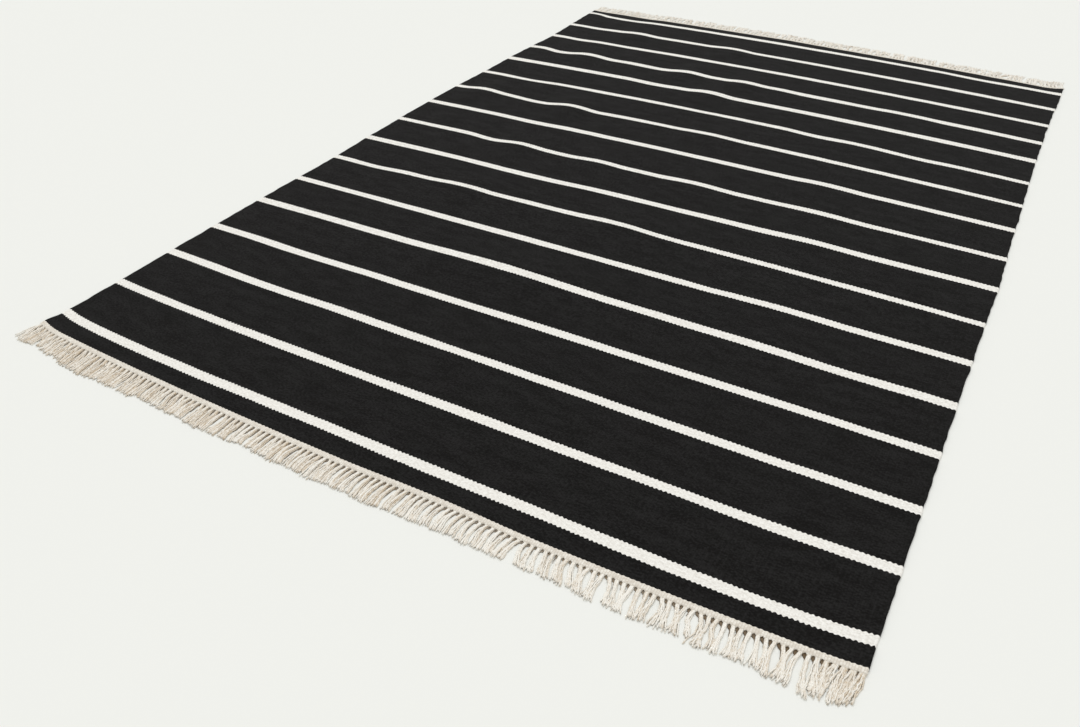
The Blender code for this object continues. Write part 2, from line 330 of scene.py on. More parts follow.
# A heading's steps and low ribs, the teeth at its seam, its thin ends, and the cuts under the holes
HEADING_STEPS_PER_RIB = 4
HEADING_RIB = 0.00008
RIBBED_ABOVE = 0.003
HEADING_TOOTH = 0.0007
SEAM_ROUGH_LENGTH = 0.006
HEADING_END_FULLNESS = 0.35
HOLE_CUT = 0.0016
HOLE_HALF_WIDTH = 0.0034

# Rows and layers of the noise that each uneven edge or side is read from, so that no two look alike
SELVEDGE_NOISE_ROW = 7
SELVEDGE_NOISE_LAYER = 0.5
COCKLE_NOISE_LAYER = 3.1
SEAM_NOISE_ROW = 2
SEAM_NOISE_LAYER = 0.0

# Yarns of a lock. Each one's two plies start at a turn of their own, of PLY_SCATTER radians at most.
YARN_RADIUS = 0.0011
YARN_HALF_WIDTH = 0.00135
YARN_TIP = 0.7
YARN_PLY = 0.14
PLY_LENGTH = 0.019
PLY_SCATTER = 40
LAYER_RISE = 0.0017
ROOT_TUCK = 0.006
ROOT_RISE = 0.0009
MIDDLE_SHARE = 0.42
YARN_SIDES = 6
YARN_STEPS = 18
FLOOR_CLEARANCE = 0.0001

# Where each yarn lies in its lock, as a share of the lock's half width, and in which layer.
# Columns: share, layer
LOCK_YARNS = (
    (-1.00, 0),
    (-0.50, 0),
    (0.00, 0),
    (0.50, 0),
    (1.00, 0),
    (-0.70, 1),
    (-0.22, 1),
    (0.26, 1),
    (0.74, 1),
)

# Small differences between locks of untidiness 1: by what share one may be shorter, how widely its lean,
# bow and sway are spread, and how wide it may be against the others.
LOCK_SHORTER = 0.07
LEAN_SPREAD = 0.022
BOW_SPREAD = 0.0016
SWAY_SPREAD = 0.0010
LOCK_WIDTHS = (0.70, 1.30)

# Small differences between a lock's yarns, again for untidiness 1. A yarn is free of its root's hold
# from 1 / FREEING of the lock's length, and it wanders more beyond LOOSE_FROM of that length. At the
# tip the upper layer settles by a share of itself, and a yarn may rise by a share of a layer.
YARN_SHORTER = 0.10
FREEING = 3
LOOSE_FROM = 0.15
WANDER_SPREAD = 0.18
LOOSE_WANDER_SPREAD = 0.25
YARN_WAVES = (0.0002, 0.0006)
YARN_WAVE_LENGTHS = (0.013, 0.028)
LAYER_SETTLING = 0.5
LOOSE_RISE = 0.4

# The flat bed under the lock's yarns: half its height, and its length, width and tip against the lock's
BED_RISE = 0.0007
BED_LENGTH = 0.86
BED_WIDTH = 0.9
BED_TIP = 0.6

# The shaded strand, a low strand in painted deep shade: half its height, how far its reach may differ,
# the most of the lock that it covers, and what is left of it at its end
SHADE_RISE = 0.0009
SHADE_REACHES = (0.6, 1.4)
SHADE_COVER = 0.9
SHADE_END = 0.02

# Tones of the strands. No light reaches a point that is as low as UNLIT_HEIGHT, and LIT_RISE above
# that a point is in full light. Some of the cut tips are shaded too.
LOCK_BEIGE_JITTER = 0.12
YARN_BEIGE_JITTER = 0.3
SHADE_BEIGE = 0.5
UNLIT_HEIGHT = 0.0006
LIT_RISE = 0.0022
TIP_LIGHT = 0.5
TIP_SHADE = 0.50
TIP_SHADE_SHARE = 0.30

# Colours, linear
FIELD_DARK = (0.0050, 0.0045, 0.0041)
FIELD_LIGHT = (0.0160, 0.0155, 0.0152)
STRIPE_DARK = (0.60, 0.56, 0.50)
STRIPE_LIGHT = (0.965, 0.950, 0.900)
LINT = (0.26, 0.24, 0.20)
HEADING_DARK = (0.58, 0.51, 0.42)
HEADING_LIGHT = (0.94, 0.905, 0.825)
YARN_CREAM = (1.00, 0.975, 0.91)
YARN_BEIGE = (0.66, 0.54, 0.39)
YARN_SHADE = (0.42, 0.33, 0.22)
DEEP_SHADE = (0.130, 0.085, 0.042)
FLOOR_COLOR = (0.878, 0.885, 0.850)
SKY_COLOR = (1.0, 1.0, 0.99)

# Pattern and tones of the weave. The beads' tops are flatter the lower the two flatness powers are.
# A stripe is trimmed on both sides, where its teeth stand out past its line.
RIB_FLATNESS = 0.7
PICK_FLATNESS = 0.5
TOOTH_DEPTH = 0.0012
STRIPE_TRIM = 0.0014
STRIPE_EDGE_BLUR = 0.0003
FIELD_BEAD_TONE = 0.5
FIELD_BASE_TONE = 0.25
STRIPE_GRAIN_TONE = 0.50
STRIPE_BASE_TONE = 0.80
HEADING_BEAD_TONE = 0.4
HEADING_BLOTCH_TONE = 0.6
HEADING_BLOTCH_SCALE = 60.0
LINT_STRETCH = (3.0, 4.0, 1.0)
LINT_CORE = 0.003
LINT_RIM = 0.0075

# Pattern and tones of the yarn: its twist, its fibres' streaks, and how beige or shaded it is
TWIST_LENGTH = 0.0055
TWIST_PLIES = 2.0
STREAKS_A_TWIST = 3.0
STREAK_SCALE = 9.0
STREAK_HEIGHT = 0.6
YARN_ROUND = 0.004
YARN_BASE_BEIGE = 0.1
CREASE_SHADE = 0.15
LOW_SHADE = 0.16
BUMP_HEIGHT = 0.0006

# Uneven patterns in the materials, as Shading.swing takes them
STRIPE_FUZZ = {"scale": 160.0, "amount": 0.0016, "detail": 1.0}
STRIPE_DRIFT = {"scale": 2.2, "amount": 0.003, "stretch": (1.0, 3.0, 1.0)}
STRIPE_SWELL = {"scale": 3.1, "amount": 0.003, "stretch": (1.0, 5.0, 1.0)}
MOTTLE = {"scale": 14.0, "amount": 1.0, "detail": 5.0, "stretch": (1.0, 3.0, 1.0)}
GRAIN = {"scale": 150.0, "amount": 1.7, "detail": 3.0, "stretch": (1.0, 1.6, 1.0)}
SPECKLE = {"scale": 190.0, "amount": 0.9}

# Studio: a pale floor in a white room, and one wide soft light
FLOOR_REACH = 30.0
SKY_STRENGTH = 0.76
LIGHT_PLACE = (-1.6, 2.2, 4.2)
LIGHT_AIM = (0.2, -0.6, 0.0)
LIGHT_WIDTH_DEG = 40.0
LIGHT_STRENGTH = 0.95

# Camera: the photograph's viewpoint on a frame 36 mm wide
CAMERA_PLACE = (0.9932, -2.5762, 1.3113)
CAMERA_TURN_DEG = (53.44, -0.284, 29.308)
CAMERA_LENS = 31.715
SENSOR_WIDTH = 36.0


def read_table(table, position, column):
    """Value of one column at a position given in the first column, eased between the rows."""
    if position <= table[0][0]:
        return table[0][column]
    for low, high in zip(table, table[1:]):
        if position <= high[0]:
            share = (position - low[0]) / (high[0] - low[0])
            eased = share * share * (3 - 2 * share)
            return low[column] + (high[column] - low[column]) * eased
    return table[-1][column]


def read_row(table, position, keys):
    """Every column but the first at this position, by its name."""
    return {key: read_table(table, position, column + 1) for column, key in enumerate(keys)}


def ease(value):
    """0 to 1, clamped and eased."""
    held = np.clip(value, 0.0, 1.0)
    return held * held * (3 - 2 * held)


def corner_draw(across, along):
    """How far this place is drawn along the rug by the corner that it is close to."""
    drawn = 0.0
    for side, end, draw, reach_across, reach_along in CORNERS:
        inward = max(0.0, WIDTH / 2 - side * across) / reach_across
        onward = max(0.0, CLOTH_HALF_LENGTH - end * along) / reach_along
        if inward < 1 and onward < 1:
            drawn += draw * (1 - inward) ** 2 * (1 - onward) ** 2
    return drawn


def local_draw(draws, across, along):
    """How far this place is drawn along the rug by the rows of the table that are close to it."""
    drawn = 0.0
    for middle, centre, half_width, half_length, draw in draws:
        reach = ((across - middle) / half_width) ** 2 + ((along - centre) / half_length) ** 2
        if reach < 1:
            drawn += draw * (1 - reach) ** 2
    return drawn


def row_shift(across, along):
    """How far the row lies from its straight line at this place, along the rug."""
    left, right, bow, squareness = (read_table(ROWS, along, column) for column in (1, 2, 3, 4))
    side = across / (WIDTH / 2)
    ends = left + (right - left) * (side + 1) / 2
    bowed = bow * (1 - abs(side) ** squareness)
    return ends + bowed + corner_draw(across, along) + local_draw(DRAWS, across, along)


def lift(across, along):
    """Height of the cloth's underside over the floor: none away from the puckers."""
    height = 0.0
    for middle, centre, half_width, half_length, rise in PUCKERS:
        reach = ((across - middle) / half_width) ** 2 + ((along - centre) / half_length) ** 2
        if reach < 1:
            height = max(height, rise * (1 - reach) ** 2)
    return height


def place(across, along, height=0.0):
    """Where a point of the woven cloth lies on the floor."""
    stand_out = read_table(SELVEDGES, along, 1 if across < 0 else 2)
    x = across * (1 + stand_out / (WIDTH / 2))
    y = along + row_shift(across, along)
    return (x, y, lift(across, along) + height)


def edge_y(across, end):
    """The cloth's end edge."""
    return place(across, end * CLOTH_HALF_LENGTH)[1]


def heading_outer_y(across, end):
    """The outer side of the heading strip, where the locks grow from."""
    return edge_y(across, end) + end * (SEAM_GAP + HEADING_DEPTH)


def lock_table(end, fringe, seed):
    """Every lock of one end: its root's place across, its length, its lean and its lean to its group.

    Locks gather at the tips in small groups, and the longest one just reaches FRINGE_REACH.
    """
    chance = random.Random(seed)
    locks = []
    while len(locks) < LOCK_COUNT:
        size = min(chance.choice(GATHER_SIZES), LOCK_COUNT - len(locks))
        for member in range(size):
            across = -WIDTH / 2 + (len(locks) + 0.5) * LOCK_PITCH
            length = read_table(fringe, across, 1) + chance.uniform(-LENGTH_JITTER, LENGTH_JITTER)
            gather = GATHER_LEAN * ((size - 1) / 2 - member)
            lean = read_table(fringe, across, 2) + chance.uniform(-LEAN_JITTER, LEAN_JITTER)
            locks.append((across, length, lean, gather))
    reach = max(abs(heading_outer_y(across, end)) + length for across, length, _, _ in locks)
    spare = FRINGE_REACH - reach
    return [(across, length + spare, lean, gather) for across, length, lean, gather in locks]


def add_mesh(name, points, faces, material):
    """A smooth-shaded object of these points and faces."""
    mesh = bpy.data.meshes.new(name)
    mesh.from_pydata(points, [], faces)
    mesh.materials.append(material)
    mesh.shade_smooth()
    piece = bpy.data.objects.new(name, mesh)
    bpy.context.scene.collection.objects.link(piece)
    return piece


def add_vectors(piece, name, domain, values):
    """Stores a vector for each point or corner, for the material to read."""
    attribute = piece.data.attributes.new(name, "FLOAT_VECTOR", domain)
    attribute.data.foreach_set("vector", np.asarray(values, np.float32).ravel())


def spaced(half_span, step):
    """Places from edge to edge: close together at both edges, and evenly spaced in between."""
    inner_half = half_span - EDGE_STEPS[-1]
    count = 2 * round(inner_half / step) + 1
    inner = list(np.linspace(-inner_half, inner_half, count))
    edge = [half_span - distance for distance in EDGE_STEPS[:-1]]
    return [-position for position in edge] + inner + edge[::-1]


def edge_fullness(across, along):
    """Share of the cloth's thickness here: all of it but for the rounded edges."""
    distance = min(WIDTH / 2 - abs(across), CLOTH_HALF_LENGTH + TUCK - abs(along))
    inward = min(1.0, max(0.0, distance / EDGE_ROUND))
    return math.sqrt(1 - (1 - inward) ** 2)


def selvedge_bulge(across, along):
    """How far the cloth's side stands out here from the wefts' uneven turns."""
    closeness = ease((abs(across) - WIDTH / 2) / EDGE_STEPS[-1] + 1)
    if closeness == 0:
        return 0.0
    side = math.copysign(1.0, across)
    noise_place = (along / SELVEDGE_WAVE_LENGTH, SELVEDGE_NOISE_ROW * side, SELVEDGE_NOISE_LAYER)
    wave = noise.noise(Vector(noise_place))
    stripe_distance = abs((along + STRIPE_PITCH / 2) % STRIPE_PITCH - STRIPE_PITCH / 2)
    stripe = 1 - ease(stripe_distance / STRIPE_BULGE_REACH)
    return side * closeness * (SELVEDGE_WAVE * wave + STRIPE_BULGE * stripe)


def cloth_point(across, along, side):
    """Where a point of the cloth's upper side (1) or underside (-1) lies."""
    full = edge_fullness(across, along)
    x, y, z = place(across, along, CLOTH_THICKNESS / 2 * (1 + side * full))
    if side > 0 and full == 1:
        noise_place = (across / COCKLE_LENGTH, along / COCKLE_LENGTH, COCKLE_NOISE_LAYER)
        z += COCKLE * noise.noise(Vector(noise_place))
    return (x + selvedge_bulge(across, along), y, z)


def pattern_place(across, along):
    """Where a point lies in the stripes' pattern, and how much wider its stripe is woven."""
    return (across, along - local_draw(WANDERS, across, along), read_table(STRIPE_WIDTHS, along, 1))


def woven_cloth(material):
    """The cloth: one closed thin sheet with rounded selvedges, its ends tucked into the headings."""
    columns = spaced(WIDTH / 2, COLUMN_STEP)
    rows = spaced(CLOTH_HALF_LENGTH + TUCK, ROW_STEP)
    points, woven = [], []
    index = {}
    for side in (-1, 1):
        for row, along in enumerate(rows):
            for column, across in enumerate(columns):
                rim = row in (0, len(rows) - 1) or column in (0, len(columns) - 1)
                if rim and side > 0:
                    index[side, row, column] = index[-side, row, column]
                    continue
                index[side, row, column] = len(points)
                points.append(cloth_point(across, along, side))
                woven.append(pattern_place(across, along))
    faces = []
    for side in (-1, 1):
        for row in range(len(rows) - 1):
            for column in range(len(columns) - 1):
                corners = ((row, column), (row, column + 1), (row + 1, column + 1), (row + 1, column))
                face = [index[(side, *corner)] for corner in corners]
                faces.append(face[::side])
    piece = add_mesh("woven_cloth", points, faces, material)
    add_vectors(piece, "woven", "POINT", woven)
    return piece


def hole_share(across):
    """1 halfway between two locks, and down to 0 beside it. No hole lies outside the last locks."""
    if abs(across) > WIDTH / 2 - LOCK_PITCH / 2:
        return 0.0
    distance = abs((across + WIDTH / 2 + LOCK_PITCH / 2) % LOCK_PITCH - LOCK_PITCH / 2)
    return 1 - ease(distance / HOLE_HALF_WIDTH)


def heading_column(across, end):
    """Points round the heading strip's section at this place, and where each lies in the weave."""
    x, base = place(across, end * CLOTH_HALF_LENGTH)[:2]
    rib = math.cos(2 * math.pi * across / RIB_PITCH)
    rough = noise.noise(Vector((across / SEAM_ROUGH_LENGTH, SEAM_NOISE_ROW * end, SEAM_NOISE_LAYER)))
    tooth = HEADING_TOOTH * (math.sin(math.pi * across / RIB_PITCH) + rough)
    hole = hole_share(across)
    fullness = max(HEADING_END_FULLNESS, edge_fullness(across, 0.0))
    middle = CLOTH_THICKNESS / 2
    points, woven = [], []
    for outwards, height, teeth, cut in HEADING_SECTION:
        out = outwards + tooth * teeth - hole * cut * HOLE_CUT
        rise = height + HEADING_RIB * rib * (height > RIBBED_ABOVE)
        points.append((x, base + end * out, middle + (rise - middle) * fullness))
        woven.append((across, CLOTH_HALF_LENGTH + outwards, 0.0))
    return points, woven


def heading_strip(name, end, material):
    """The natural cotton strip beyond the cloth's end: ribbed, toothed at the seam, cut under holes."""
    count = HEADING_STEPS_PER_RIB * round(WIDTH / RIB_PITCH)
    ring = len(HEADING_SECTION)
    points, woven = [], []
    for column in range(count + 1):
        column_points, column_woven = heading_column(-WIDTH / 2 + WIDTH * column / count, end)
        points += column_points
        woven += column_woven
    faces = []
    for column in range(count):
        low, high = column * ring, (column + 1) * ring
        for step in range(ring):
            after = (step + 1) % ring
            faces.append([low + step, low + after, high + after, high + step])
    faces.append(list(range(ring))[::-1])
    faces.append([count * ring + step for step in range(ring)])
    piece = add_mesh(name, points, [face[::-end] for face in faces], material)
    add_vectors(piece, "woven", "POINT", woven)
    return piece


def opening_push(openings, across):
    """How far a lock whose tip is here is pushed sideways by the openings near it."""
    push = 0.0
    for middle, strength in openings:
        distance = across - middle
        if abs(distance) < OPENING_REACH:
            push += math.copysign(strength * (1 - abs(distance) / OPENING_REACH), distance)
    return push


def lock_lie(lock, spread, openings, chance):
    """How one lock lies: its lean, its sideways bow and sway, and its width against its neighbours'."""
    across, length, lean, gather = lock
    untidy = spread["untidiness"]
    tip_across = across + lean * length
    return {"length": length * (1 - LOCK_SHORTER * chance.random() * untidy),
            "lean": lean + gather * spread["gathering"] + chance.gauss(0.0, LEAN_SPREAD) * untidy
            + opening_push(openings, tip_across) / length,
            "bow": spread["bow"] + chance.gauss(0.0, BOW_SPREAD) * untidy,
            "sway": chance.gauss(0.0, SWAY_SPREAD) * untidy,
            "width": chance.uniform(*LOCK_WIDTHS)}


def middle_line(lie, out):
    """Sideways place of the lock's middle line at these distances from the root."""
    beyond = np.clip(out, 0.0, None)
    share = np.clip(beyond / lie["length"], 0.0, 1.0)
    bowed = 4 * lie["bow"] * share * (1 - share)
    return lie["lean"] * beyond + bowed + lie["sway"] * np.sin(2 * math.pi * share)


def lock_half_width(lie, spread, out):
    """Half the lock's width at these distances from the root."""
    middle = spread["middle"] * lie["width"]
    share = np.clip(out / lie["length"], 0.0, 1.0)
    to_middle = ease(share / MIDDLE_SHARE)
    to_tip = ease((share - MIDDLE_SHARE) / (1 - MIDDLE_SHARE))
    return spread["neck"] + (middle - spread["neck"]) * to_middle + (spread["tip"] - middle) * to_tip


def strand_distances(reach):
    """Distances along a strand from the lock's root, from its tucked start to its reach."""
    return np.linspace(-ROOT_TUCK, reach, YARN_STEPS + 1)


def strand_line(root, end, out, side, height):
    """A strand's middle line: how far out, how far sideways and how high it runs."""
    line = np.empty((YARN_STEPS + 1, 3))
    line[:, 0] = root[0] + side
    line[:, 1] = root[1] + end * out
    line[:, 2] = height
    return line


def strand_radii(half_width, half_height):
    """A strand's half width and half height all along it."""
    radii = np.empty((YARN_STEPS + 1, 2))
    radii[:, 0] = half_width
    radii[:, 1] = half_height
    return radii


def yarn_strand(root, lie, end, yarn, spread, chance):
    """One yarn of a lock, as its middle line, its radii and its distances from the root."""
    place_share, layer = yarn
    untidy = spread["untidiness"]
    out = strand_distances(lie["length"] * (1 - YARN_SHORTER * chance.random() * untidy))
    share = np.clip(out / lie["length"], 0.0, 1.0)
    free = ease(share * FREEING)
    loose = ease((share - LOOSE_FROM) / (1 - LOOSE_FROM))
    drift = chance.gauss(0.0, WANDER_SPREAD) * free
    wander = untidy * (drift + chance.gauss(0.0, LOOSE_WANDER_SPREAD) * loose)
    side = middle_line(lie, out) + (place_share + wander) * lock_half_width(lie, spread, out)
    wave = chance.uniform(*YARN_WAVES) * untidy
    phase = chance.uniform(0.0, 2 * math.pi)
    side += wave * np.sin(phase + 2 * math.pi * out / chance.uniform(*YARN_WAVE_LENGTHS)) * free
    settled = layer * (1 - LAYER_SETTLING * loose) + chance.uniform(0.0, LOOSE_RISE) * loose
    height = YARN_RADIUS + LAYER_RISE * settled + ROOT_RISE * (1 - ease(share / MIDDLE_SHARE))
    radii = strand_radii(YARN_HALF_WIDTH, YARN_RADIUS)
    radii[-1] *= YARN_TIP
    return strand_line(root, end, out, side, height), radii, out


def bed_strand(root, lie, end, spread):
    """A flat strand under the lock's yarns, a little narrower and shorter than they are."""
    out = strand_distances(BED_LENGTH * lie["length"])
    radii = strand_radii(BED_WIDTH * lock_half_width(lie, spread, out), BED_RISE)
    radii[-1, 0] *= BED_TIP
    return strand_line(root, end, out, middle_line(lie, out), BED_RISE + FLOOR_CLEARANCE), radii, out


def shaded_strand(root, lie, end, spread, shade, chance):
    """The lowest strand, in painted deep shade: it fills the hole by the lock's root and runs out along
    its flank.
    """
    reach = min(shade["reach"] * chance.uniform(*SHADE_REACHES), SHADE_COVER * lie["length"])
    out = strand_distances(reach)
    beyond = np.clip(out, 0.0, None)
    narrowed = ease(beyond / shade["hole"])
    flank = math.copysign(1.0, -shade["flank"])
    to_gap = flank * LOCK_PITCH / 2
    to_flank = flank * (lock_half_width(lie, spread, out) + YARN_HALF_WIDTH)
    side = middle_line(lie, out) + to_gap + (to_flank - to_gap) * abs(shade["flank"]) * narrowed
    fading = np.sqrt(np.clip(1 + SHADE_END - beyond / reach, 0.0, 1.0))
    narrowing = (shade["half width"] - shade["hole width"]) * narrowed
    radii = strand_radii((shade["hole width"] + narrowing) * fading, SHADE_RISE * fading)
    return strand_line(root, end, out, side, SHADE_RISE + FLOOR_CLEARANCE), radii, out


def tube_points(lines, radii, distances, numbers):
    """Points round the strands' lines: a two-ply section that turns along each of them."""
    along = np.gradient(lines, axis=1)
    along /= np.linalg.norm(along, axis=2, keepdims=True)
    side = np.cross(np.array((0.0, 0.0, 1.0)), along)
    side /= np.linalg.norm(side, axis=2, keepdims=True)
    up = np.cross(along, side)
    angle = 2 * math.pi * np.arange(YARN_SIDES) / YARN_SIDES
    turn = 2 * math.pi * distances / PLY_LENGTH + PLY_SCATTER * numbers
    ply = 1 + YARN_PLY * np.cos(2 * (angle - turn[:, :, None]))
    sideways = radii[:, :, None, 0] * ply * np.cos(angle)
    upwards = radii[:, :, None, 1] * ply * np.sin(angle)
    points = lines[:, :, None, :] + side[:, :, None, :] * sideways[..., None]
    points = points + up[:, :, None, :] * upwards[..., None]
    points[..., 2] = np.maximum(points[..., 2], FLOOR_CLEARANCE)
    return points


def tube_faces(strands, rings):
    """The faces round every strand, then the caps at their roots, then those at their tips."""
    start = np.arange(strands)[:, None, None] * rings * YARN_SIDES
    ring = np.arange(rings - 1)[None, :, None] * YARN_SIDES
    corner = np.arange(YARN_SIDES)[None, None, :]
    after = (corner + 1) % YARN_SIDES
    low = start + ring
    high = low + YARN_SIDES
    quads = np.stack([low + corner, low + after, high + after, high + corner], axis=-1)
    root_caps = start[:, 0] + np.arange(YARN_SIDES)[::-1]
    tip_caps = start[:, 0] + (rings - 1) * YARN_SIDES + np.arange(YARN_SIDES)
    return quads.reshape(-1, 4).tolist() + root_caps.tolist() + tip_caps.tolist()


def fibre_places(distances, numbers):
    """For every face's corners: how far round and along its strand each lies, and the strand's number."""
    strands, rings = distances.shape
    around = np.arange(YARN_SIDES) / YARN_SIDES
    fibre = np.empty((strands, rings - 1, YARN_SIDES, 4, 3))
    fibre[..., (0, 3), 0] = around[:, None]
    fibre[..., (1, 2), 0] = around[:, None] + 1 / YARN_SIDES
    fibre[..., (0, 1), 1] = distances[:, :-1, None, None]
    fibre[..., (2, 3), 1] = distances[:, 1:, None, None]
    fibre[..., 2] = numbers[:, :, None, None]
    caps = np.zeros((2, strands, YARN_SIDES, 3))
    caps[1, ..., 1] = distances[:, -1:]
    caps[..., 2] = numbers
    return np.concatenate([fibre.reshape(-1, 3), caps.reshape(-1, 3)])


def strand_looks(heights, tones):
    """For every point: how lit it is, how beige it is, and how deep in shade."""
    looks = np.zeros((*heights.shape, 3))
    looks[..., 0] = ease((heights - UNLIT_HEIGHT) / LIT_RISE)
    looks[:, -1, :, 0] *= TIP_LIGHT
    looks[..., 1] = tones[:, 1][:, None, None]
    looks[..., 2] = tones[:, 2][:, None, None]
    shaded_tips = (tones[:, 0] < TIP_SHADE_SHARE) & (tones[:, 2] == 0)
    looks[:, -1, :, 2] += TIP_SHADE * shaded_tips[:, None]
    return looks


def strand_tubes(name, strands, tones, material):
    """One piece with a tube round each strand. A strand's tone is its number, its beige and its shade."""
    lines, radii, distances = (np.array(item) for item in zip(*strands))
    tones = np.array(tones)
    numbers = tones[:, :1]
    points = tube_points(lines, radii, distances, numbers)
    piece = add_mesh(name, points.reshape(-1, 3), tube_faces(*distances.shape), material)
    add_vectors(piece, "fibre", "CORNER", fibre_places(distances, numbers))
    add_vectors(piece, "look", "POINT", strand_looks(points[..., 2], tones))
    return piece


def fringe_half(name, locks, end, seed, material):
    """The locks of one half of an end, each a bundle of yarns that leaves the heading and fans out."""
    chance = random.Random(seed)
    side = end["side"]
    strands, tones = [], []
    for lock in locks:
        across = lock[0]
        spread = read_row(end["spreads"], across, SPREAD_KEYS)
        shade = read_row(end["shades"], across, SHADE_KEYS)
        root = (place(across, side * CLOTH_HALF_LENGTH)[0], heading_outer_y(across, side))
        lie = lock_lie(lock, spread, end["openings"], chance)
        beige = shade["beige"] + chance.uniform(-LOCK_BEIGE_JITTER, LOCK_BEIGE_JITTER)
        for yarn in LOCK_YARNS:
            strands.append(yarn_strand(root, lie, side, yarn, spread, chance))
            number = chance.random()
            # Painted shade: the yarns towards the lock's right flank are made more beige.
            flank_shaded_beige = beige + yarn[0] * shade["right_flank_shade"]
            tones.append((number, flank_shaded_beige + chance.uniform(-YARN_BEIGE_JITTER, YARN_BEIGE_JITTER), 0.0))
        strands.append(bed_strand(root, lie, side, spread))
        tones.append((chance.random(), beige, 0.0))
        # A low strand in painted deep shade: the dark hole at the root and the shade beside the lock's
        # flank.
        strands.append(shaded_strand(root, lie, side, spread, shade, chance))
        tones.append((chance.random(), SHADE_BEIGE, shade["depth"]))
    return strand_tubes(name, strands, tones, material)


class Shading:
    """One material's node tree, with a short call for each kind of node that it needs.

    Every value given to a call is either another node's output or a plain value.
    """

    def __init__(self, name):
        self.material = bpy.data.materials.new(name)
        self.material.use_nodes = True
        self.tree = self.material.node_tree
        self.shader = self.tree.nodes["Principled BSDF"]

    def add(self, kind, **settings):
        """A new node of this kind."""
        node = self.tree.nodes.new(kind)
        for key, value in settings.items():
            setattr(node, key, value)
        return node

    def feed(self, socket, value):
        """Links a node's output to the socket, or sets a plain value on it."""
        if isinstance(value, bpy.types.NodeSocket):
            self.tree.links.new(value, socket)
        else:
            socket.default_value = value

    def read(self, name):
        """A vector that the mesh stores."""
        return self.add("ShaderNodeAttribute", attribute_name=name).outputs["Vector"]

    def split(self, vector):
        """The three parts of a vector."""
        node = self.add("ShaderNodeSeparateXYZ")
        self.feed(node.inputs[0], vector)
        return node.outputs

    def join(self, x, y, z=0.0):
        """A vector of three parts."""
        node = self.add("ShaderNodeCombineXYZ")
        for socket, value in zip(node.inputs, (x, y, z)):
            self.feed(socket, value)
        return node.outputs[0]

    def math(self, operation, *values):
        """One step of arithmetic."""
        node = self.add("ShaderNodeMath", operation=operation)
        for socket, value in zip(node.inputs, values):
            self.feed(socket, value)
        return node.outputs[0]

    def arch(self, value):
        """A row of arches: 0 at every whole number and 1 halfway between them."""
        return self.math("ABSOLUTE", self.math("SINE", self.math("MULTIPLY", value, math.pi)))

    def scaled(self, vector, scale):
        """The vector stretched by a scale for each axis."""
        node = self.add("ShaderNodeVectorMath", operation="MULTIPLY")
        self.feed(node.inputs[0], vector)
        self.feed(node.inputs[1], scale)
        return node.outputs[0]

    def noise(self, vector, scale, detail):
        """Smooth noise from 0 to 1."""
        node = self.add("ShaderNodeTexNoise")
        self.feed(node.inputs["Vector"], vector)
        self.feed(node.inputs["Scale"], scale)
        self.feed(node.inputs["Detail"], detail)
        return node.outputs["Fac"]

    def swing(self, vector, scale, amount, detail=2.0, stretch=None):
        """Noise about zero, as large as amount, on a vector that is stretched first."""
        if stretch:
            vector = self.scaled(vector, stretch)
        centred = self.math("SUBTRACT", self.noise(vector, scale, detail), 0.5)
        return self.math("MULTIPLY", centred, 2 * amount)

    def chance(self, vector):
        """A random number for each whole place."""
        node = self.add("ShaderNodeTexWhiteNoise", noise_dimensions="3D")
        self.feed(node.inputs["Vector"], vector)
        return node.outputs["Value"]

    def spread(self, value, low, high, to_low=0.0, to_high=1.0):
        """The value's range stretched to another one, with eased ends."""
        node = self.add("ShaderNodeMapRange", interpolation_type="SMOOTHSTEP")
        for socket, item in zip(node.inputs, (value, low, high, to_low, to_high)):
            self.feed(socket, item)
        return node.outputs[0]

    def mix(self, share, low, high):
        """A colour between two colours."""
        node = self.add("ShaderNodeMix", data_type="RGBA")
        self.feed(node.inputs[0], share)
        for socket, color in ((node.inputs[6], low), (node.inputs[7], high)):
            self.feed(socket, (*color, 1.0) if isinstance(color, tuple) else color)
        return node.outputs[2]

    def bump(self, height, strength):
        """Fine relief on the surface."""
        node = self.add("ShaderNodeBump")
        self.feed(node.inputs["Strength"], strength)
        self.feed(node.inputs["Distance"], BUMP_HEIGHT)
        self.feed(node.inputs["Height"], height)
        self.feed(self.shader.inputs["Normal"], node.outputs[0])

    def finish(self, color, roughness, specular, sheen):
        """The finished material."""
        self.feed(self.shader.inputs["Base Color"], color)
        self.feed(self.shader.inputs["Roughness"], roughness)
        self.feed(self.shader.inputs["Specular IOR Level"], specular)
        self.feed(self.shader.inputs["Sheen Weight"], sheen)
        self.feed(self.shader.inputs["Sheen Roughness"], 0.6)
        return self.material


def weave(shading, across, along):
    """Weft-faced weave: the height of its beads, and a random number for each bead."""
    rib = shading.math("DIVIDE", across, RIB_PITCH)
    rib_number = shading.math("FLOOR", rib)
    odd = shading.math("MODULO", rib_number, 2.0)
    pick = shading.math("DIVIDE", along, 2 * WEFT_PITCH)
    pick = shading.math("ADD", pick, shading.math("MULTIPLY", odd, 0.5))
    rib_height = shading.math("POWER", shading.arch(rib), RIB_FLATNESS)
    pick_height = shading.math("POWER", shading.arch(pick), PICK_FLATNESS)
    bead = shading.math("MULTIPLY", rib_height, pick_height)
    number = shading.chance(shading.join(rib_number, shading.math("FLOOR", pick)))
    return bead, number


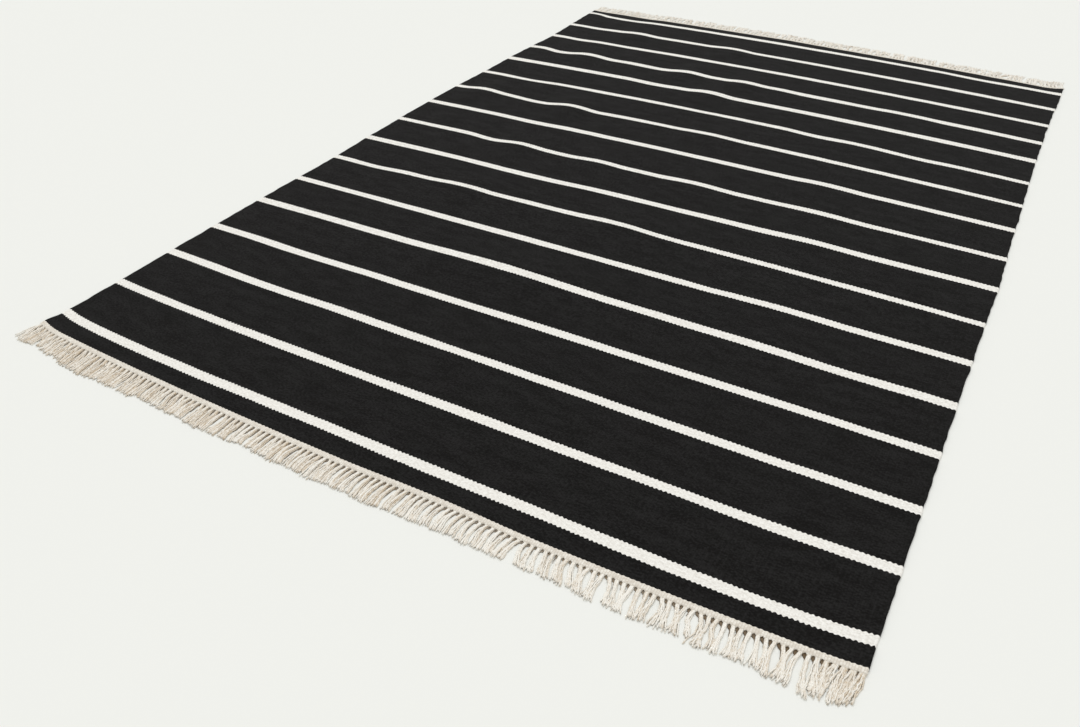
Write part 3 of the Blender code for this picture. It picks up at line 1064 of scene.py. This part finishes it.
def stripe_mask(shading, woven, across, along, widening):
    """1 on the off-white stripes and 0 on the field, with the toothed edges of a weft-faced weave."""
    tooth = shading.math("SINE", shading.math("MULTIPLY", across, math.pi / RIB_PITCH))
    tooth = shading.math("MULTIPLY", tooth, TOOTH_DEPTH)
    shift = shading.math("ADD", tooth, shading.swing(woven, **STRIPE_FUZZ))
    shift = shading.math("ADD", shift, shading.swing(woven, **STRIPE_DRIFT))
    distance = shading.math("PINGPONG", shading.math("ADD", along, shift), STRIPE_PITCH / 2)
    half_width = shading.swing(woven, **STRIPE_SWELL)
    half_width = shading.math("ADD", half_width, STRIPE_WIDTH / 2 - STRIPE_TRIM)
    half_width = shading.math("ADD", half_width, shading.math("MULTIPLY", widening, 0.5))
    inside = shading.math("SUBTRACT", half_width, distance)
    return shading.spread(inside, low=-STRIPE_EDGE_BLUR, high=STRIPE_EDGE_BLUR)


def lint_mask(shading, woven):
    """1 on the few small pale specks that cling to the dark field."""
    speck = shading.add("ShaderNodeTexVoronoi")
    shading.feed(speck.inputs["Vector"], shading.scaled(woven, LINT_STRETCH))
    return shading.spread(speck.outputs["Distance"], low=LINT_RIM, high=LINT_CORE)


def cloth_material():
    """Matt near-black field with off-white stripes, a tone for each bead, painted shade between beads."""
    shading = Shading("striped_weave")
    woven = shading.read("woven")
    across, along, widening = shading.split(woven)
    bead, number = weave(shading, across, along)
    stripe = stripe_mask(shading, woven, across, along, widening)
    mottle = shading.swing(woven, **MOTTLE)
    grain = shading.swing(woven, **GRAIN)

    tone = shading.math("ADD", shading.math("MULTIPLY", number, FIELD_BEAD_TONE), FIELD_BASE_TONE)
    tone = shading.math("ADD", tone, shading.math("ADD", mottle, grain))
    # Painted shade: the field is darker in the grooves between the weave's beads.
    tone = shading.math("MULTIPLY", tone, shading.spread(bead, low=0.0, high=0.8, to_low=0.6))
    field = shading.mix(tone, FIELD_DARK, FIELD_LIGHT)
    field = shading.mix(lint_mask(shading, woven), field, LINT)

    fleck_and_bead_shade = shading.math("MULTIPLY_ADD", grain, STRIPE_GRAIN_TONE, STRIPE_BASE_TONE)
    # Painted shade: the stripes are darker in the grooves between the weave's beads.
    fleck_and_bead_shade = shading.math("MULTIPLY", fleck_and_bead_shade, shading.spread(bead, low=0.0, high=0.6, to_low=0.8))
    light = shading.mix(fleck_and_bead_shade, STRIPE_DARK, STRIPE_LIGHT)

    shading.bump(bead, strength=0.5)
    color = shading.mix(stripe, field, light)
    return shading.finish(color, roughness=0.92, specular=0.12, sheen=0.0)


def heading_material():
    """Natural cotton in the same weave as the cloth, blotched, with painted shade and highlight on its
    beads.
    """
    shading = Shading("natural_heading")
    woven = shading.read("woven")
    across, along, _ = shading.split(woven)
    bead, number = weave(shading, across, along)
    blotch = shading.noise(woven, scale=HEADING_BLOTCH_SCALE, detail=3.0)
    tone = shading.math("ADD", shading.math("MULTIPLY", number, HEADING_BEAD_TONE),
                        shading.math("MULTIPLY", blotch, HEADING_BLOTCH_TONE))
    # Painted shade in the grooves between the beads and a painted highlight on their tops.
    relief = shading.spread(bead, low=0.0, high=0.8, to_low=0.5, to_high=1.4)
    color = shading.mix(shading.math("MULTIPLY", tone, relief), HEADING_DARK, HEADING_LIGHT)
    shading.bump(bead, strength=0.5)
    return shading.finish(color, roughness=0.9, specular=0.15, sheen=0.1)


def yarn_material():
    """Two-ply cotton yarn, cream to beige, with painted shade in creases, low in the lock and where
    marked.
    """
    shading = Shading("cotton_yarn")
    around, along, number = shading.split(shading.read("fibre"))
    lit, beige, shaded = shading.split(shading.read("look"))
    twist = shading.math("DIVIDE", along, TWIST_LENGTH)
    twist = shading.math("ADD", twist, shading.math("MULTIPLY", around, TWIST_PLIES))
    ply = shading.math("SINE", shading.math("MULTIPLY", twist, 2 * math.pi))
    ply = shading.math("MULTIPLY_ADD", ply, 0.5, 0.5)
    streak_place = shading.join(shading.math("MULTIPLY", twist, STREAKS_A_TWIST), along, number)
    streak = shading.noise(streak_place, scale=STREAK_SCALE, detail=3.0)
    fibre_place = shading.join(along, number, shading.math("MULTIPLY", around, YARN_ROUND))

    tone = shading.math("ADD", shading.swing(fibre_place, **SPECKLE), YARN_BASE_BEIGE)
    color = shading.mix(shading.math("ADD", beige, tone), YARN_CREAM, YARN_BEIGE)
    # Painted shade in the creases between the two plies, mixed towards beige.
    crease_shade = shading.math("MULTIPLY", shading.math("SUBTRACT", 1.0, ply), CREASE_SHADE)
    color = shading.mix(crease_shade, color, YARN_BEIGE)
    unlit = shading.math("MULTIPLY", shading.math("SUBTRACT", 1.0, lit), LOW_SHADE)
    color = shading.mix(unlit, color, YARN_SHADE)
    color = shading.mix(shaded, color, DEEP_SHADE)

    shading.bump(shading.math("ADD", ply, shading.math("MULTIPLY", streak, STREAK_HEIGHT)), strength=0.6)
    return shading.finish(color, roughness=0.85, specular=0.2, sheen=0.15)


def floor_material():
    """Plain pale floor."""
    shading = Shading("pale_floor")
    return shading.finish((*FLOOR_COLOR, 1.0), roughness=0.9, specular=0.1, sheen=0.0)


def add_floor():
    """A floor that reaches past the frame's edges."""
    corners = [(FLOOR_REACH * x, FLOOR_REACH * y, 0.0) for x, y in ((-1, -1), (1, -1), (1, 1), (-1, 1))]
    floor = add_mesh("floor", corners, [(0, 1, 2, 3)], floor_material())


def add_studio():
    """A white room of even light, with a wide soft light from above the rug's far left side."""
    world = bpy.data.worlds.new("studio")
    world.use_nodes = True
    sky = world.node_tree.nodes["Background"]
    sky.inputs["Color"].default_value = (*SKY_COLOR, 1.0)
    sky.inputs["Strength"].default_value = SKY_STRENGTH
    bpy.context.scene.world = world
    light = bpy.data.lights.new("key", "SUN")
    light.angle = math.radians(LIGHT_WIDTH_DEG)
    light.energy = LIGHT_STRENGTH
    lamp = bpy.data.objects.new("key", light)
    lamp.location = LIGHT_PLACE
    lamp.rotation_euler = (Vector(LIGHT_AIM) - lamp.location).to_track_quat("-Z", "Y").to_euler()
    bpy.context.scene.collection.objects.link(lamp)


def add_camera():
    """The camera that sees the rug as the photograph does."""
    camera = bpy.data.objects.new("camera", bpy.data.cameras.new("camera"))
    camera.location = CAMERA_PLACE
    camera.rotation_euler = [math.radians(turn) for turn in CAMERA_TURN_DEG]
    camera.data.sensor_fit = "HORIZONTAL"
    camera.data.sensor_width = SENSOR_WIDTH
    camera.data.lens = CAMERA_LENS
    bpy.context.scene.collection.objects.link(camera)
    bpy.context.scene.camera = camera


def dress_end(end, heading_finish, yarn_finish):
    """The heading and the two halves of the fringe at one end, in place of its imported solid."""
    name, seed = end["name"], end["seed"]
    strip = heading_strip("heading_" + name, end["side"], heading_finish)
    locks = lock_table(end["side"], end["fringe"], seed)
    half = len(locks) // 2
    left = fringe_half("fringe_%s_left" % name, locks[:half], end, seed, yarn_finish)
    right = fringe_half("fringe_%s_right" % name, locks[half:], end, seed + 1, yarn_finish)
    for piece in (strip, left, right):
        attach(piece, "root")
        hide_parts("fringe_" + name)
    return [strip, left, right]


def dress_rug():
    """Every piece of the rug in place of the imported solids."""
    cloth = woven_cloth(cloth_material())
    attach(cloth, "root")
    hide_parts("rug_field")
    heading_finish, yarn_finish = heading_material(), yarn_material()
    trims = []
    for end in ENDS:
        trims += dress_end(end, heading_finish, yarn_finish)


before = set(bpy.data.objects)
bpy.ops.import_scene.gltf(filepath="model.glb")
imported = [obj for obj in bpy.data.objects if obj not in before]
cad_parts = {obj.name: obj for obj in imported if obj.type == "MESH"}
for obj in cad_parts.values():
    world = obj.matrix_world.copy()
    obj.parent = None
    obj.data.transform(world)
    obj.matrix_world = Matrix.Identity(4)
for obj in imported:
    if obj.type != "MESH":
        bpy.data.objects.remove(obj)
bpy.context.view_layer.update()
bpy.context.scene.view_settings.view_transform = "Standard"
add_camera()
add_studio()
add_floor()
dress_rug()
